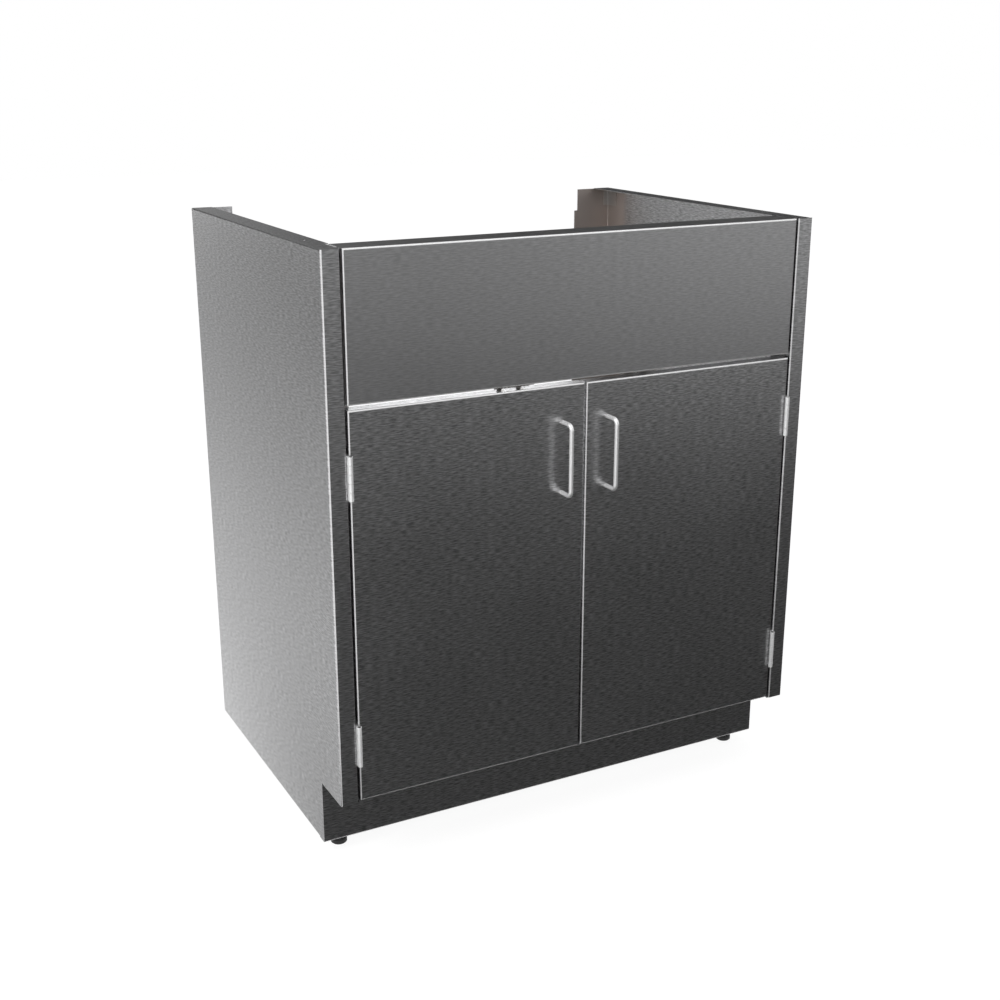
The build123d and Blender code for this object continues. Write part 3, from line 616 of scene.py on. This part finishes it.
def lying_card(name, corners, axis, wall, ends, near_stops, far_stops):
    """A card on the floor for the wall that faces -axis. ends are the wall's two ends along the other
    axis, near_stops the tones mirrored at the first end and far_stops those at the second."""
    made, tree, output = new_material(name)
    place = add_node(tree, "ShaderNodeNewGeometry")
    split = add_node(tree, "ShaderNodeSeparateXYZ", links={"Vector": place.outputs["Position"]})
    facing, other = ("Y", "X") if axis == "Y" else ("X", "Y")
    eye_wall, eye_other = (eye.y, eye.x) if axis == "Y" else (eye.x, eye.y)
    eye_distance = wall - eye_wall
    away = add_node(tree, "ShaderNodeMath", {"operation": "SUBTRACT"}, {0: wall},
                    {1: split.outputs[facing]})
    total = add_node(tree, "ShaderNodeMath", {"operation": "ADD"}, {1: eye_distance},
                     {0: away.outputs[0]})
    height = add_node(tree, "ShaderNodeMath", {"operation": "DIVIDE", "use_clamp": True},
                      links={0: away.outputs[0], 1: total.outputs[0]})
    aside = add_node(tree, "ShaderNodeMath", {"operation": "SUBTRACT"}, {1: eye_other},
                     {0: split.outputs[other]})
    slope = add_node(tree, "ShaderNodeMath", {"operation": "DIVIDE"},
                     links={0: aside.outputs[0], 1: total.outputs[0]})
    across = add_node(tree, "ShaderNodeMapRange", inputs={
        "From Min": (ends[0] - eye_other) / eye_distance, "From Max": (ends[1] - eye_other) / eye_distance},
        links={"Value": slope.outputs[0]})
    tone = add_node(tree, "ShaderNodeMix", {"data_type": "RGBA"}, links={
        "Factor": across.outputs["Result"],
        6: tone_along(tree, height.outputs[0], near_stops),
        7: tone_along(tree, height.outputs[0], far_stops)})
    shine = add_node(tree, "ShaderNodeEmission", inputs={"Strength": 1.0}, links={"Color": tone.outputs[2]})
    tree.links.new(shine.outputs[0], output.inputs["Surface"])
    return stage_sheet(name, [(x, y, card_lift) for x, y in corners], made)


front_card = lying_card("front_card", [(-0.80, card_edge), (0.9, card_edge), (13.9, -12), (1.4, -12)],
                        "Y", front_wall, (left_wall, -left_wall),
                        [(0.05, 0.066), (0.50, 0.046), (0.60, 0.085), (0.80, 0.25)],
                        [(0.05, 0.053), (0.45, 0.050), (0.60, 0.21), (0.72, 0.43), (0.80, 0.78)])
side_card = lying_card("side_card", [(left_wall, -0.26), (left_wall, 1.2), (-3.5, 12), (-9, 12)],
                       "X", left_wall, (front_wall, back_wall),
                       [(0.10, 0.50), (0.35, 0.54), (0.80, 0.11)],
                       [(0.10, 0.95), (0.40, 0.80), (0.80, 0.22)])
print("lying cards:", front_card.name, side_card.name)

# %% [markdown]
# The other cards need no second direction. A grey wall closes off the far end of the front card, and
# a dark card lies on the right for the stiles and the folds that face that way. Two black flags,
# shading to grey, stand behind the cabinet for the flanges and the front rail.
#
# Two bright reflectors lie on the floor. Only the folded corners and round bars face the left one, and
# it draws the light line down each fold. The rear one lights the gap over the doors, which the camera
# sees after two bounces off steel, so it glows fully in a mirror's mirror and is plain in a mirror.

# %% Standing cards and the reflectors
flag_y, flag_foot, flag_top, flag_seam = 4, 0.9, 5, 0.2
reflector_lift = 2 * mm


def shaded_card(name, corners, low, high, stops):
    """A card that shades off along X from low to high."""
    made, tree, output = new_material(name)
    place = add_node(tree, "ShaderNodeNewGeometry")
    split = add_node(tree, "ShaderNodeSeparateXYZ", links={"Vector": place.outputs["Position"]})
    across = add_node(tree, "ShaderNodeMapRange", inputs={"From Min": low, "From Max": high},
                      links={"Value": split.outputs["X"]})
    shine = add_node(tree, "ShaderNodeEmission", inputs={"Strength": 1.0},
                     links={"Color": tone_along(tree, across.outputs["Result"], stops)})
    tree.links.new(shine.outputs[0], output.inputs["Surface"])
    return stage_sheet(name, corners, made)


def glowing_card(name, corners, lift, first, later):
    """A card of one tone, lift over the floor. first is its glow in a mirror, later its glow in a
    mirror's mirror."""
    made, tree, output = new_material(name)
    path = add_node(tree, "ShaderNodeLightPath")
    strength = add_node(tree, "ShaderNodeMapRange", {"clamp": True}, {
        "From Min": 1.0, "From Max": 2.0, "To Min": first, "To Max": later},
        {"Value": path.outputs["Glossy Depth"]})
    shine = add_node(tree, "ShaderNodeEmission", inputs={"Color": (1, 1, 1, 1)},
                     links={"Strength": strength.outputs["Result"]})
    tree.links.new(shine.outputs[0], output.inputs["Surface"])
    return stage_sheet(name, [(x, y, lift) for x, y in corners], made)


def flag_corners(left, right):
    """The corners of a flag that stands behind the cabinet."""
    return [(left, flag_y, flag_foot), (right, flag_y, flag_foot), (right, flag_y, flag_top),
            (left, flag_y, flag_top)]


far_card = shaded_card("far_card", [(0.8, -9, 0), (12, -9, 0), (12, -9, 2.4), (0.8, -9, 2.4)],
                       1.5, 9.0, [(0.0, 0.25), (1.0, 0.45)])
rear_flag = shaded_card("rear_flag", flag_corners(flag_seam, 6.2),
                        0.6, 2.6, [(0.0, 0.28), (0.4, 0.05), (1.0, 0.005)])
left_flag = shaded_card("left_flag", flag_corners(-6, flag_seam),
                        -3.0, 0.2, [(0.0, 0.05), (1.0, 0.20)])
left_reflector = glowing_card("left_reflector", [(-0.44, -0.70), (-0.6, -8.0), (-8.3, -1.6),
                                                 (-0.87, -0.35)], reflector_lift, 1.3, 1.3)
rear_reflector = glowing_card("rear_reflector", [(0.35, 1.4), (1.7, 1.4), (3.2, 4.2), (0.95, 4.2)],
                              reflector_lift, 0.8, 6.0)
right_card = glowing_card("right_card", [(0.9, card_edge), (13.9, -12), (13.9, 2.0), (0.9, 0.8)],
                          card_lift, 0.04, 0.04)
cards = (front_card, side_card, far_card, rear_flag, left_flag, left_reflector, rear_reflector,
         right_card)
for card in cards:
    card.visible_camera = card.visible_diffuse = card.visible_shadow = False
    card.visible_transmission = card.visible_volume_scatter = False
print("cards:", [card.name for card in cards])

# %% [markdown]
# ## Lamps
# One large softbox stands high on the left and one hangs over the front. They are far enough away to
# draw a single soft line along each fold that faces them.

# %% Lamps
lamp_size, lit_place = 1.6, (0, 0, 0.5)


def softbox(name, place, watts):
    """A square lamp at a place, turned to the middle of the cabinet."""
    lamp = bpy.data.objects.new(name, bpy.data.lights.new(name, "AREA"))
    bpy.context.scene.collection.objects.link(lamp)
    lamp.data.shape, lamp.data.size, lamp.data.energy = "SQUARE", lamp_size, watts
    lamp.location = place
    lamp.rotation_mode = "QUATERNION"
    lamp.rotation_quaternion = (Vector(lit_place) - Vector(place)).to_track_quat("-Z", "Y")
    return lamp


softbox("left_softbox", (-2.6, -0.8, 2.4), 60)
softbox("top_softbox", (1.1, -1.1, 3.2), 16)

# %% [markdown]
# ## Plain view settings
# The Standard view keeps colours as they are written.

# %% View
bpy.context.scene.view_settings.view_transform = "Standard"
